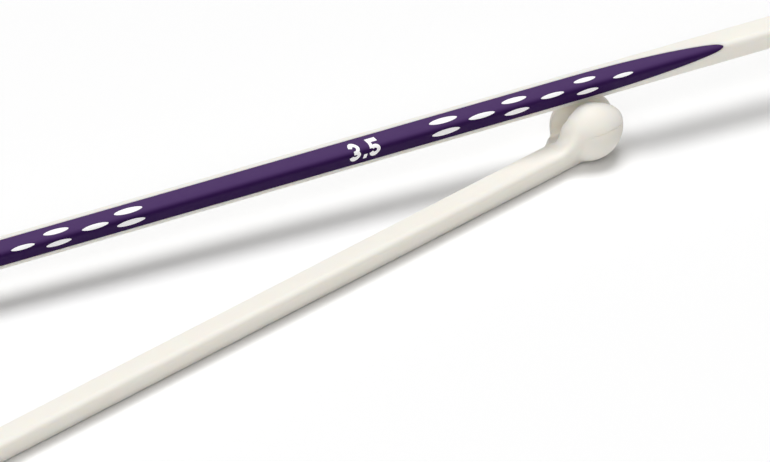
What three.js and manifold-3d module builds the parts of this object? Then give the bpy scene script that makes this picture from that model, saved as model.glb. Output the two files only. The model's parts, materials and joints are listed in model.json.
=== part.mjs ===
// A pair of single-pointed knitting needles of rounded triangular section. Each needle is an ivory
// moulding with a drop-shaped point and a split ball, and a violet overlay along one edge of its
// shaft. The ivory moulding is made as two solids that meet at the neck of the ball.
// The upper needle lies in the mouth of the lower needle's split ball, as the pair is stored.
// Millimetres, +Z up, standing on Z = 0 with the middle of the pair's box over the origin.
import * as THREE from 'three';
import { mergeVertices } from 'three/addons/utils/BufferGeometryUtils.js';
import Module from 'manifold-3d';

const wasm = await Module();
wasm.setup();

const { degToRad, lerp, smoothstep } = THREE.MathUtils;

// Shaft
const NEEDLE_LENGTH = 350; // from the point to the far side of the ball
const SHAFT_BREADTH = 3.5; // across the section between two edges, the size of the needle
const EDGE_RADIUS = 0.6; // rounding of the section's three edges

// Drop-shaped point, each place measured from the end of the point
const POINT_RADIUS = 0.45;
const DROP_RADIUS = 1.6;
const DROP_PLACE = 10;
const WAIST_RADIUS = 1.42;
const WAIST_PLACE = 21;
const SHAFT_PLACE = 36;

// Split ball at the other end, which clips on to a second needle
const BALL_RADIUS = 4.14;
const BALL_TOP = 3.55; // height of the ball above its centre, a little less than its radius
const BALL_RISE = 2.25; // the ball's centre above the shaft's middle line
const NECK_LENGTH = 1.4; // hollow-sided neck between the shaft and the ball
const NECK_MEETING = degToRad(40); // where the neck ends in the ball, off the shaft's direction
const NECK_FULLNESS = 0.85; // share of the ball's own section that the neck grows to
const SLIT_WAIST = 1.56; // breadth of the slit at the middle of the ball
const SLIT_NEAR_MOUTH = 3.4; // breadth where the slit leaves the ball beside the shaft
const SLIT_FAR_MOUTH = 1.9; // breadth where it leaves the ball at the needle's end
const SLIT_FLARE = 1.2; // power by which the slit widens towards its mouths
const SLIT_FLOOR = -0.35; // above the ball's centre
const SLIT_FLOOR_RADIUS = 0.4;
const SLIT_SKEW = degToRad(18.8); // between the slit and the shaft, seen from above

// Violet overlay, centred between the needle's two ends
const OVERLAY_LENGTH = 108.8;
const OVERLAY_SPAN = 4.82; // across the overlay, measured along the shaft's surface
const OVERLAY_THICKNESS = 0.4;
const OVERLAY_TAPER = 18; // length of each pointed end
const OVERLAY_FULLNESS = 0.65; // power that rounds the pointed ends
const OVERLAY_BLUNT = 0.15; // the pointed ends stop this short
const SEAM = 0.05; // gap between a needle's solids where they meet

// Lens-shaped windows in the overlay, in two clusters, each starting with a pair
const LENS_COLUMNS = 6;
const LENS_FIRST = 19.5; // from the overlay's middle to the first column
const LENS_PITCH = 4.42;
const LENS_LENGTH = 3.45;
const LENS_BREADTH = 0.6;
const LENS_SHRINK = 0.055; // share of its size that each further column loses
const LENS_ROW = 0.645; // rows of a pair, each side of the shaft's edge

// How the two needles lie together
const CROSSING_PLACE = 208.5; // from the upper needle's ball to the lower needle's ball
const UPPER_ROLL = degToRad(1.5); // the upper needle's own turn on its shaft
const REST_CLEARANCE = 0.05; // between the upper needle and the lips of the slit

// Fineness of the facets
const EDGE_STEPS = 6;
const FLAT_STEPS = 2;
const BALL_SEGMENTS = 26;
const BALL_RINGS = 16;
const TAPER_STEPS = 8;
const LENS_STEPS = 5;
const SLIT_STEPS = 10;
const SLIT_FLOOR_STEPS = 4;
const SETTLING_PASSES = 8;

// The section is a triangle of side lines moved out by the edge radius. Its edges stand at 30, 150
// and 270 degrees round the shaft, so that one flat faces up and one edge points down.
const EDGE_ANGLES = [degToRad(30), degToRad(150), degToRad(270)];
const EDGE_ARC = degToRad(60); // half of an edge's round
const EDGE_REACH = (SHAFT_BREADTH / 2 - EDGE_RADIUS) / Math.sin(EDGE_ARC);
const FLAT_DISTANCE = EDGE_REACH * Math.cos(EDGE_ARC) + EDGE_RADIUS;
const ROUND_REACH = 0.02; // keeps a round section's three arcs apart

const POINT_X = BALL_RADIUS - NEEDLE_LENGTH;
const NECK_X = -BALL_RADIUS - NECK_LENGTH;
const OVERLAY_X = BALL_RADIUS - NEEDLE_LENGTH / 2;

// The overlay's own directions: outwards through its edge, and up across its surface
const OVERLAY_OUT = new THREE.Vector3(0, Math.cos(EDGE_ANGLES[0]), Math.sin(EDGE_ANGLES[0]));
const OVERLAY_ACROSS = new THREE.Vector3(0, -Math.sin(EDGE_ANGLES[0]), Math.cos(EDGE_ANGLES[0]));

const IVORY = new THREE.MeshStandardMaterial({ color: 0xf2eee3, roughness: 0.45, metalness: 0 });
const VIOLET = new THREE.MeshStandardMaterial({ color: 0x2d1043, roughness: 0.4, metalness: 0 });

// Solids

function solidFromArrays(vertProperties, triVerts) {
  return new wasm.Manifold(new wasm.Mesh({ numProp: 3, vertProperties, triVerts }));
}

function solidFromGeometry(geometry) {
  const bare = geometry.clone();
  bare.deleteAttribute('normal');
  bare.deleteAttribute('uv');
  const merged = mergeVertices(bare, 1e-5);
  return solidFromArrays(
    new Float32Array(merged.attributes.position.array),
    new Uint32Array(merged.index.array),
  );
}

function geometryFromSolid(solid) {
  const { vertProperties, triVerts } = solid.getMesh();
  const geometry = new THREE.BufferGeometry();
  geometry.setAttribute('position', new THREE.Float32BufferAttribute(vertProperties, 3));
  geometry.setIndex(new THREE.Uint32BufferAttribute(triVerts, 1));
  geometry.computeVertexNormals();
  return geometry;
}

// A closed body through rings that all have the same number of points, in order along the body.
// capTriangles closes the first ring, and turned round also the last one.
function loft(rings, capTriangles) {
  const count = rings[0].length;
  const triangles = [];
  const last = (rings.length - 1) * count;
  for (const [a, b, c] of capTriangles) {
    triangles.push(a, b, c, last + a, last + c, last + b);
  }
  for (let ring = 0; ring < rings.length - 1; ring += 1) {
    for (let i = 0; i < count; i += 1) {
      const next = (i + 1) % count;
      const a = ring * count + i;
      const b = ring * count + next;
      triangles.push(a, a + count, b, b, a + count, b + count);
    }
  }
  const points = rings.flat();
  const positions = new Float32Array(points.flatMap((point) => point.toArray()));
  return solidFromArrays(positions, new Uint32Array(facingOut(points, triangles)));
}

function fanCap(count) {
  return Array.from({ length: count - 2 }, (_, i) => [0, i + 1, i + 2]);
}

function facingOut(points, triangles) {
  let volume = 0;
  const side = new THREE.Vector3();
  for (let i = 0; i < triangles.length; i += 3) {
    side.crossVectors(points[triangles[i + 1]], points[triangles[i + 2]]);
    volume += points[triangles[i]].dot(side);
  }
  return volume > 0 ? triangles : triangles.reverse();
}

// Ivory shaft and point

// One ring of the shaft: three arcs of the given radius round centres at the given reach
function sectionRing({ x, reach, radius, rise = 0 }) {
  const ring = [];
  for (const edgeAngle of EDGE_ANGLES) {
    for (let step = 0; step <= EDGE_STEPS; step += 1) {
      const angle = edgeAngle - EDGE_ARC + (2 * EDGE_ARC * step) / EDGE_STEPS;
      ring.push(new THREE.Vector3(
        x,
        reach * Math.cos(edgeAngle) + radius * Math.cos(angle),
        rise + reach * Math.sin(edgeAngle) + radius * Math.sin(angle),
      ));
    }
  }
  return ring;
}

function sectionLoft(stations) {
  const rings = stations.map(sectionRing);
  return loft(rings, fanCap(rings[0].length));
}

const FULL_SECTION = { reach: EDGE_REACH, radius: EDGE_RADIUS };

// Stations from the very end of the point to where the section is full
function pointStations() {
  const stations = [];
  const add = (place, radius, reach) => {
    stations.push({ x: POINT_X + place, radius, reach: Math.max(reach, ROUND_REACH) });
  };
  for (const share of [0.15, 0.5, 0.85]) {
    const angle = (share * Math.PI) / 2;
    add(POINT_RADIUS * (1 - Math.cos(angle)), POINT_RADIUS * Math.sin(angle), 0);
  }
  for (const share of [0, 0.2, 0.45, 0.7, 1]) {
    const place = lerp(POINT_RADIUS, DROP_PLACE, share);
    add(place, lerp(POINT_RADIUS, DROP_RADIUS, Math.sin((share * Math.PI) / 2)), 0);
  }
  for (const share of [0.25, 0.5, 0.75, 1]) {
    const place = lerp(DROP_PLACE, WAIST_PLACE, share);
    add(place, lerp(DROP_RADIUS, WAIST_RADIUS, smoothstep(share, 0, 1)), 0);
  }
  for (const share of [0.2, 0.4, 0.6, 0.8, 1]) {
    const blend = smoothstep(share, 0, 1);
    const place = lerp(WAIST_PLACE, SHAFT_PLACE, share);
    add(place, lerp(WAIST_RADIUS, EDGE_RADIUS, blend), EDGE_REACH * blend);
  }
  return stations;
}

function shaftSolid() {
  return sectionLoft([...pointStations(), { x: NECK_X - SEAM, ...FULL_SECTION }]);
}

// Split ball and its neck

// The shaft's section runs on straight to below the ball's middle. Round it the neck swells to the
// ball, hollow along its top and sides.
function neckSolid() {
  const core = sectionLoft([{ x: NECK_X, ...FULL_SECTION }, { x: 0, ...FULL_SECTION }]);
  const end = -BALL_RADIUS * Math.cos(NECK_MEETING);
  const endRadius = BALL_RADIUS * Math.sin(NECK_MEETING) * NECK_FULLNESS;
  const stations = [];
  for (const share of [0, 0.25, 0.45, 0.6, 0.72, 0.82, 0.91, 1]) {
    const rising = share ** 2;
    const swelling = share ** 3;
    stations.push({
      x: lerp(NECK_X, end, share),
      reach: lerp(EDGE_REACH, ROUND_REACH, swelling),
      radius: lerp(EDGE_RADIUS, endRadius, swelling),
      rise: BALL_RISE * rising,
    });
  }
  return core.add(sectionLoft(stations));
}

function ballSolid() {
  const ball = new THREE.SphereGeometry(BALL_RADIUS, BALL_SEGMENTS, BALL_RINGS);
  ball.rotateX(Math.PI / 2);
  const { position } = ball.attributes;
  for (let i = 0; i < position.count; i += 1) {
    const height = position.getZ(i);
    position.setZ(i, height > 0 ? (height * BALL_TOP) / BALL_RADIUS : height);
  }
  ball.translate(0, 0, BALL_RISE);
  return solidFromGeometry(ball);
}

// Directions of the slit, in the needle's own frame
const SLIT_ALONG = new THREE.Vector3(Math.cos(SLIT_SKEW), -Math.sin(SLIT_SKEW), 0);
const SLIT_ACROSS = new THREE.Vector3(Math.sin(SLIT_SKEW), Math.cos(SLIT_SKEW), 0);
const SLIT_UP = new THREE.Vector3(0, 0, 1);

// The space of the slit: a channel with rounded lower corners, open at the top and at both ends,
// narrow in the middle of the ball and wider towards its two mouths
function slitSpace() {
  const rings = [slitRing(-2 * BALL_RADIUS, SLIT_NEAR_MOUTH)];
  for (let step = 0; step <= SLIT_STEPS; step += 1) {
    const share = lerp(-1, 1, step / SLIT_STEPS);
    const mouth = share < 0 ? SLIT_NEAR_MOUTH : SLIT_FAR_MOUTH;
    const breadth = lerp(SLIT_WAIST, mouth, Math.abs(share) ** SLIT_FLARE);
    rings.push(slitRing(share * BALL_RADIUS, breadth));
  }
  rings.push(slitRing(2 * BALL_RADIUS, SLIT_FAR_MOUTH));
  return loft(rings, fanCap(rings[0].length));
}

// The channel's section at a place along the slit
function slitRing(place, breadth) {
  const side = breadth / 2;
  const top = 2 * BALL_RADIUS;
  const corner = SLIT_FLOOR + SLIT_FLOOR_RADIUS;
  const inner = side - SLIT_FLOOR_RADIUS;
  const profile = new THREE.Path();
  profile.moveTo(-side, top);
  profile.lineTo(-side, corner);
  profile.absarc(-inner, corner, SLIT_FLOOR_RADIUS, Math.PI, 1.5 * Math.PI, false);
  profile.absarc(inner, corner, SLIT_FLOOR_RADIUS, 1.5 * Math.PI, 2 * Math.PI, false);
  profile.lineTo(side, top);
  return profile.getPoints(SLIT_FLOOR_STEPS).map(({ x, y }) => (
    new THREE.Vector3(0, 0, BALL_RISE)
      .addScaledVector(SLIT_ALONG, place)
      .addScaledVector(SLIT_ACROSS, x)
      .addScaledVector(SLIT_UP, y)
  ));
}

// Violet overlay

// A point on the shaft's surface, at a distance along the surface from the overlay's edge, and
// raised off the surface
function surfacePoint(x, distance, raised) {
  const bend = EDGE_RADIUS * EDGE_ARC;
  const onArc = Math.min(Math.abs(distance), bend);
  const onFlat = Math.abs(distance) - onArc;
  const angle = onArc / EDGE_RADIUS;
  const out = EDGE_REACH + (EDGE_RADIUS + raised) * Math.cos(angle) - onFlat * Math.sin(angle);
  const across = (EDGE_RADIUS + raised) * Math.sin(angle) + onFlat * Math.cos(angle);
  return new THREE.Vector3(x, 0, 0)
    .addScaledVector(OVERLAY_OUT, out)
    .addScaledVector(OVERLAY_ACROSS, Math.sign(distance) * across);
}

// A strip of the shaft's skin, from one height off the surface to another, over the overlay's
// outline grown by a margin
function skinStrip(lowest, highest, margin) {
  const rings = stripStations().map(({ place, halfSpan }) => {
    const x = OVERLAY_X + place + Math.sign(place) * margin;
    const distances = surfaceDistances(halfSpan + margin);
    const outer = distances.map((distance) => surfacePoint(x, distance, highest));
    const inner = distances.map((distance) => surfacePoint(x, distance, lowest));
    return [...outer, ...inner.reverse()];
  });
  const count = rings[0].length;
  const cap = [];
  for (let i = 0; i < count / 2 - 1; i += 1) {
    const facing = count - 1 - i;
    cap.push([i, i + 1, facing], [i + 1, facing - 1, facing]);
  }
  return loft(rings, cap);
}

// Places along the overlay, from its middle, with half of its span there
function stripStations() {
  const end = OVERLAY_LENGTH / 2;
  const half = [];
  for (let step = 0; step <= TAPER_STEPS; step += 1) {
    const inset = lerp(OVERLAY_BLUNT, OVERLAY_TAPER, (step / TAPER_STEPS) ** 2);
    const fullness = (1 - (1 - inset / OVERLAY_TAPER) ** 2) ** OVERLAY_FULLNESS;
    half.push({ place: inset - end, halfSpan: (OVERLAY_SPAN / 2) * fullness });
  }
  const otherHalf = half.map(({ place, halfSpan }) => ({ place: -place, halfSpan })).reverse();
  return [...half, ...otherHalf];
}

// Distances along the surface for one ring of the overlay, closer together over the edge's round
function surfaceDistances(halfSpan) {
  const roundPart = Math.min(EDGE_RADIUS * EDGE_ARC, halfSpan / 2);
  const steps = EDGE_STEPS / 2;
  const half = [];
  for (let step = 1; step <= steps; step += 1) {
    half.push((roundPart * step) / steps);
  }
  for (let step = 1; step <= FLAT_STEPS; step += 1) {
    half.push(lerp(roundPart, halfSpan, step / FLAT_STEPS));
  }
  return [...half.map((distance) => -distance).reverse(), 0, ...half];
}

// Where the lens-shaped windows lie: pairs and single ones by turns, alike in both clusters
function lensPlaces() {
  const places = [];
  for (let column = 0; column < LENS_COLUMNS; column += 1) {
    const rows = column % 2 === 0 ? [-LENS_ROW, LENS_ROW] : [0];
    const size = 1 - LENS_SHRINK * column;
    for (const side of [-1, 1]) {
      for (const row of rows) {
        places.push({ x: OVERLAY_X + side * (LENS_FIRST + LENS_PITCH * column), row, size });
      }
    }
  }
  return places;
}

// One lens, drawn through the shaft's edge and grown by a margin
function lensSolid({ x, row, size }, margin) {
  const halfLength = (LENS_LENGTH * size) / 2 + margin;
  const halfBreadth = (LENS_BREADTH * size) / 2 + margin;
  const outline = new THREE.Shape();
  outline.absellipse(0, 0, halfLength, halfBreadth, 0, 2 * Math.PI, false, 0);
  const depth = 2 * SHAFT_BREADTH;
  const lens = new THREE.ExtrudeGeometry(outline, {
    depth,
    bevelEnabled: false,
    curveSegments: LENS_STEPS,
  });
  lens.applyMatrix4(new THREE.Matrix4().makeBasis(
    new THREE.Vector3(1, 0, 0),
    OVERLAY_ACROSS.clone().negate(),
    OVERLAY_OUT,
  ));
  lens.translate(x, row * OVERLAY_ACROSS.y, row * OVERLAY_ACROSS.z);
  return solidFromGeometry(lens);
}

// The solids of a needle

function joined(solids) {
  return solids.reduce((sum, solid) => sum.add(solid));
}

// Shaft and point, with the overlay's recess and the lenses that fill the overlay's windows flush
// with the surface
function shaftMoulding() {
  const shaft = shaftSolid();
  const recess = skinStrip(-OVERLAY_THICKNESS - SEAM, EDGE_RADIUS, SEAM);
  const lenses = joined(lensPlaces().map((place) => lensSolid(place, 0))).intersect(shaft);
  return shaft.subtract(recess).add(lenses);
}

function splitBallMoulding() {
  return neckSolid().add(ballSolid()).subtract(slitSpace());
}

function overlayMoulding() {
  const windows = joined(lensPlaces().map((place) => lensSolid(place, SEAM)));
  return skinStrip(-OVERLAY_THICKNESS, 0, 0).subtract(windows);
}

const NEEDLE_SOLIDS = [
  { piece: 'shaft', geometry: geometryFromSolid(shaftMoulding()), material: IVORY },
  { piece: 'split_ball', geometry: geometryFromSolid(splitBallMoulding()), material: IVORY },
  { piece: 'grip_overlay', geometry: geometryFromSolid(overlayMoulding()), material: VIOLET },
];

function makeNeedle(name) {
  const needle = new THREE.Group();
  for (const { piece, geometry, material } of NEEDLE_SOLIDS) {
    const mesh = new THREE.Mesh(geometry, material);
    mesh.name = `${name}_${piece}`;
    needle.add(mesh);
  }
  return needle;
}

// How the needles rest: the lower needle is rolled back until its slit runs along the upper
// needle, which lies on the two lips of the slit and, far behind, on its own ball.

function lowerTurn(roll) {
  return new THREE.Quaternion().setFromAxisAngle(new THREE.Vector3(1, 0, 0), -roll);
}

// The upper needle's turn when its point lies in the given direction
function upperTurn(towardsPoint) {
  const yaw = Math.atan2(-towardsPoint.y, -towardsPoint.x);
  const pitch = Math.asin(towardsPoint.z);
  return new THREE.Quaternion().setFromEuler(new THREE.Euler(UPPER_ROLL, pitch, yaw, 'ZYX'));
}

// Where the upper needle's middle line passes the lower needle's ball, from the ball's centre, so
// that its lower flats stand clear of both lips
function seatOnLips(lower, upper, towardsPoint) {
  const lipHeight = BALL_TOP * Math.sqrt(1 - (SLIT_WAIST / 2 / BALL_RADIUS) ** 2);
  const flatAngle = EDGE_ANGLES[0];
  const rows = [];
  const distances = [];
  for (const side of [-1, 1]) {
    const lip = SLIT_UP.clone().multiplyScalar(lipHeight)
      .addScaledVector(SLIT_ACROSS, (side * SLIT_WAIST) / 2)
      .applyQuaternion(lower);
    const flatNormal = new THREE.Vector3(0, -side * Math.cos(flatAngle), -Math.sin(flatAngle))
      .applyQuaternion(upper);
    rows.push(flatNormal);
    distances.push(flatNormal.dot(lip) - FLAT_DISTANCE - REST_CLEARANCE);
  }
  const planes = new THREE.Matrix3().set(
    ...rows[0].toArray(),
    ...rows[1].toArray(),
    ...towardsPoint.toArray(),
  );
  return new THREE.Vector3(distances[0], distances[1], 0).applyMatrix3(planes.invert());
}

function restPose() {
  let roll = 0;
  let pose;
  for (let pass = 0; pass < SETTLING_PASSES; pass += 1) {
    const lower = lowerTurn(roll);
    const towardsPoint = SLIT_ALONG.clone().applyQuaternion(lower);
    const upper = upperTurn(towardsPoint);
    const seat = seatOnLips(lower, upper, towardsPoint);
    pose = { lower, upper, towardsPoint, seat };
    const ballRise = SLIT_UP.clone().multiplyScalar(BALL_RISE).applyQuaternion(upper);
    roll = Math.asin((seat.z + ballRise.z) / CROSSING_PLACE / Math.sin(SLIT_SKEW));
  }
  return pose;
}

function makePair() {
  const pose = restPose();
  const ballCentre = new THREE.Vector3(0, 0, BALL_RADIUS);

  const lower = makeNeedle('lower');
  lower.quaternion.copy(pose.lower);
  lower.position.copy(ballCentre)
    .sub(SLIT_UP.clone().multiplyScalar(BALL_RISE).applyQuaternion(pose.lower));

  const upper = makeNeedle('upper');
  upper.quaternion.copy(pose.upper);
  upper.position.copy(ballCentre).add(pose.seat)
    .addScaledVector(pose.towardsPoint, -CROSSING_PLACE);

  const pair = new THREE.Group();
  pair.add(lower, upper);
  const box = new THREE.Box3().setFromObject(pair, true);
  const middle = box.getCenter(new THREE.Vector3());
  pair.position.set(-middle.x, -middle.y, -box.min.z);
  return pair;
}

export default makePair();
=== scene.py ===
"""A pair of knitting needles, ivory plastic with violet grip overlays, one in the other's split ball.

Each needle is modelled in millimetres in its own frame: X runs along the shaft towards the ball, Z
points out of the shaft's upper flat, and the ball stands over the origin. A finished mesh is then
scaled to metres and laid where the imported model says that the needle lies.
"""

import json
import logging
import math
from collections.abc import Iterable
from dataclasses import dataclass
from enum import Enum

import bmesh
import bpy
from mathutils import Matrix, Vector


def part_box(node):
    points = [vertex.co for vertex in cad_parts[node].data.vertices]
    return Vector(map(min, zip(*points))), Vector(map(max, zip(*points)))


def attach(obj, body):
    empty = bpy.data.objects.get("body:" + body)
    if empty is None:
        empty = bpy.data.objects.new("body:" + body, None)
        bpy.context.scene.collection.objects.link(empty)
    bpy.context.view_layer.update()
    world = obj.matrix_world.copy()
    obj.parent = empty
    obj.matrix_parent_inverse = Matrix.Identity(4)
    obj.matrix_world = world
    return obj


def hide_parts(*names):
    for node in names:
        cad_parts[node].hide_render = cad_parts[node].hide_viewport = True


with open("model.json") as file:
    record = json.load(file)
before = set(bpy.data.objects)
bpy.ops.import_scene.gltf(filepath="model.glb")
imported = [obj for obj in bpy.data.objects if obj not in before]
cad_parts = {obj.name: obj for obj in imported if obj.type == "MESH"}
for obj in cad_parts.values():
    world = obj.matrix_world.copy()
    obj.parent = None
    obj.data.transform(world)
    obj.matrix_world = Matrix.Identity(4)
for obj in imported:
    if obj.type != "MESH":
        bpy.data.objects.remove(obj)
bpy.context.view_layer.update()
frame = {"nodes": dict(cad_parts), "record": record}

log = logging.getLogger("needles")

MILLIMETRE = 0.001
ALONG = Vector((1.0, 0.0, 0.0))

# Within these distances, in millimetres, points are one and a plane passes through a point
MERGING_DISTANCE = 1e-4
CUTTING_DISTANCE = 1e-5

SHARP_EDGE = math.radians(40)

Shape = bmesh.types.BMesh
Socket = bpy.types.NodeSocket

# Red, green and blue, from 0 to 1
Colour = tuple[float, float, float]

WHITE_LIGHT = (1.0, 1.0, 1.0, 1.0)


class Needle(Enum):
    """The two needles of the pair."""

    LOWER = "lower"
    UPPER = "upper"


class Slot(Enum):
    """The record's material slots."""

    IVORY = "ivory_plastic"
    VIOLET = "violet_plastic"


class Combining(Enum):
    """What becomes of a closed shape that meets another one."""

    CUT_AWAY = "DIFFERENCE"
    JOINED = "UNION"


def turned(angle: float) -> Vector:
    """A unit vector across the shaft, at an angle round it from the Y axis towards the Z axis."""
    return Vector((0.0, math.cos(angle), math.sin(angle)))


def blend(low: float, high: float, share: float) -> float:
    """The value at a share of the way from one number to another."""
    return low + (high - low) * share


def eased(share: float) -> float:
    """A share of the way that starts and ends gently."""
    share = min(max(share, 0.0), 1.0)
    return share * share * (3.0 - 2.0 * share)


def verts_among(geometry: Iterable[object]) -> list[bmesh.types.BMVert]:
    """The vertices among what an operator gives back."""
    return [item for item in geometry if isinstance(item, bmesh.types.BMVert)]


def faces_among(geometry: Iterable[object]) -> list[bmesh.types.BMFace]:
    """The faces among what an operator gives back."""
    return [item for item in geometry if isinstance(item, bmesh.types.BMFace)]


class Bench:
    """Turns bmeshes into objects and back, and applies modifiers on the way."""

    @staticmethod
    def put_out(shape: Shape, name: str) -> bpy.types.Object:
        """Write a bmesh to a new object in the scene.

        Args:
            shape: The bmesh, which is freed.
            name: The object's name.

        Returns:
            The new object.
        """
        mesh = bpy.data.meshes.new(name)
        shape.to_mesh(mesh)
        shape.free()
        piece = bpy.data.objects.new(name, mesh)
        bpy.context.scene.collection.objects.link(piece)
        return piece

    @staticmethod
    def take_back(piece: bpy.types.Object) -> Shape:
        """Read an object with its modifiers applied into a bmesh, and remove the object.

        Args:
            piece: The object.

        Returns:
            The bmesh of the evaluated object.
        """
        graph = bpy.context.evaluated_depsgraph_get()
        mesh = bpy.data.meshes.new_from_object(piece.evaluated_get(graph))
        shape = bmesh.new()
        shape.from_mesh(mesh)
        bpy.data.objects.remove(piece)
        bpy.data.meshes.remove(mesh)
        return shape

    @classmethod
    def combine(cls, shapes: list[Shape], way: Combining) -> Shape:
        """Cut closed shapes out of the first of them, or join them to it.

        Args:
            shapes: The shapes, which are freed.
            way: What becomes of the others.

        Returns:
            A new bmesh of the outcome.
        """
        piece, *others = [cls.put_out(shape, "part") for shape in shapes]
        for other in others:
            boolean = piece.modifiers.new("combining", "BOOLEAN")
            boolean.operation = way.value
            boolean.solver = "EXACT"
            boolean.object = other
        outcome = cls.take_back(piece)
        for other in others:
            bpy.data.objects.remove(other)
        return outcome

    @staticmethod
    def face_outwards(shape: Shape) -> None:
        """Turn every face of a closed shape outwards."""
        bmesh.ops.recalc_face_normals(shape, faces=shape.faces[:])

    @staticmethod
    def move(shape: Shape, way: tuple[float, float, float]) -> None:
        """Move a whole shape."""
        bmesh.ops.translate(shape, verts=shape.verts[:], vec=way)

    @classmethod
    def thicken(cls, flat: Shape, height: float) -> Shape:
        """Raise a flat shape to a prism.

        Args:
            flat: The flat shape.
            height: The prism's height.

        Returns:
            The same bmesh, with the flat shape as the prism's lower side.
        """
        drawn = bmesh.ops.extrude_face_region(flat, geom=flat.faces[:])["geom"]
        bmesh.ops.translate(flat, verts=verts_among(drawn), vec=(0.0, 0.0, height))
        cls.face_outwards(flat)
        return flat

    @staticmethod
    def gather(whole: Shape, part: Shape) -> None:
        """Move a bmesh into another one, beside what is there.

        Args:
            whole: The bmesh that takes it.
            part: The bmesh that is moved, and freed.
        """
        holder = bpy.data.meshes.new("part")
        part.to_mesh(holder)
        part.free()
        whole.from_mesh(holder)
        bpy.data.meshes.remove(holder)

    @staticmethod
    def bisect(shape: Shape, place: Vector, normal: Vector, clear_below: bool = False) -> None:
        """Cut a whole shape along a plane.

        Args:
            shape: The shape.
            place: A point in the plane.
            normal: The plane's normal.
            clear_below: Whether what lies below the plane is taken away.
        """
        bmesh.ops.bisect_plane(
            shape,
            geom=[*shape.verts, *shape.edges, *shape.faces],
            dist=CUTTING_DISTANCE,
            plane_co=place,
            plane_no=normal,
            clear_inner=clear_below,
        )

    @classmethod
    def reskin(cls, shape: Shape, voxel: float) -> Shape:
        """Cover closed shapes, which may lie in each other, with one even skin.

        Args:
            shape: The shapes.
            voxel: The size of the skin's squares.

        Returns:
            A new bmesh of the skin.
        """
        piece = cls.put_out(shape, "part")
        remesh = piece.modifiers.new("skin", "REMESH")
        remesh.mode = "VOXEL"
        remesh.voxel_size = voxel
        return cls.take_back(piece)

    @classmethod
    def slice_across(cls, shape: Shape, step: float) -> None:
        """Cut a flat shape into even bands along the needle, so that it can bend over an edge.

        Args:
            shape: The shape.
            step: The bands' breadth.
        """
        across = Vector((0.0, 1.0, 0.0))
        low = min(v.co.y for v in shape.verts)
        high = max(v.co.y for v in shape.verts)
        for count in range(math.ceil(low / step), math.floor(high / step) + 1):
            cls.bisect(shape, across * count * step, across)


@dataclass(frozen=True)
class Section:
    """The shaft's section: a triangle of flats with three rounded edges, one flat facing up."""

    breadth: float = 3.5
    edge_radius: float = 0.6
    edge_angles: tuple[float, ...] = (math.radians(30), math.radians(150), math.radians(270))
    edge_arc: float = math.radians(60)

    @property
    def edge_reach(self) -> float:
        """How far the middle of an edge's round stands off the shaft's middle line."""
        return (self.breadth / 2 - self.edge_radius) / math.sin(self.edge_arc)


@dataclass(frozen=True)
class Station:
    """A ring round the needle: three arcs whose centres stand off a middle line."""

    x: float
    reach: float
    radius: float
    rise: float = 0.0


class Loft:
    """A tube through stations, each ring spun as three arcs and bridged to the ring before."""

    def __init__(self, section: Section, arc_steps: int = 12, flat_cuts: int = 5) -> None:
        """Start an empty tube.

        Args:
            section: The section that gives the arcs' places.
            arc_steps: Steps in each arc.
            flat_cuts: Cuts in each flat between two arcs.
        """
        self.section = section
        self.arc_steps = arc_steps
        self.flat_cuts = flat_cuts
        self.shape = bmesh.new()
        self.last_ring: list[bmesh.types.BMEdge] = []

    def add(self, station: Station) -> None:
        """Add a ring and bridge the last ring to it.

        Args:
            station: The ring's place and sizes.
        """
        ring = self._ring(station)
        if self.last_ring:
            bmesh.ops.bridge_loops(self.shape, edges=self.last_ring + ring)
        else:
            self._cap(ring)
        self.last_ring = ring

    def add_plain(self, x: float) -> None:
        """Add a ring of the plain section at a place along the needle."""
        self.add(Station(x, self.section.edge_reach, self.section.edge_radius))

    def close(self) -> None:
        """Close the last ring, so that the next one starts another tube."""
        self._cap(self.last_ring)
        self.last_ring = []

    def closed(self) -> Shape:
        """Close the last ring too.

        Returns:
            The solid.
        """
        self.close()
        Bench.face_outwards(self.shape)
        return self.shape

    def _cap(self, ring: list[bmesh.types.BMEdge]) -> None:
        """Close a ring with a fan of faces."""
        cap = bmesh.ops.contextual_create(self.shape, geom=ring)["faces"]
        bmesh.ops.poke(self.shape, faces=cap)

    def _ring(self, station: Station) -> list[bmesh.types.BMEdge]:
        """Spin the three arcs of a ring and join them with flats.

        Args:
            station: The ring's place and sizes.

        Returns:
            The ring's edges.
        """
        shape = self.shape
        before = len(shape.edges)
        ends = []
        for edge_angle in self.section.edge_angles:
            middle = Vector((station.x, 0.0, station.rise)) + turned(edge_angle) * station.reach
            first_angle = edge_angle - self.section.edge_arc
            first = shape.verts.new(middle + turned(first_angle) * station.radius)
            spun = bmesh.ops.spin(
                shape,
                geom=[first],
                cent=middle,
                axis=ALONG,
                angle=2 * self.section.edge_arc,
                steps=self.arc_steps,
                use_merge=False,
            )
            ends.append((first, verts_among(spun["geom_last"])[0]))
        flats = []
        for (_, last), (first, _) in zip(ends, ends[1:] + ends[:1]):
            flats.append(shape.edges.new((last, first)))
        bmesh.ops.subdivide_edges(shape, edges=flats, cuts=self.flat_cuts)
        shape.edges.ensure_lookup_table()
        return shape.edges[before:]


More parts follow.
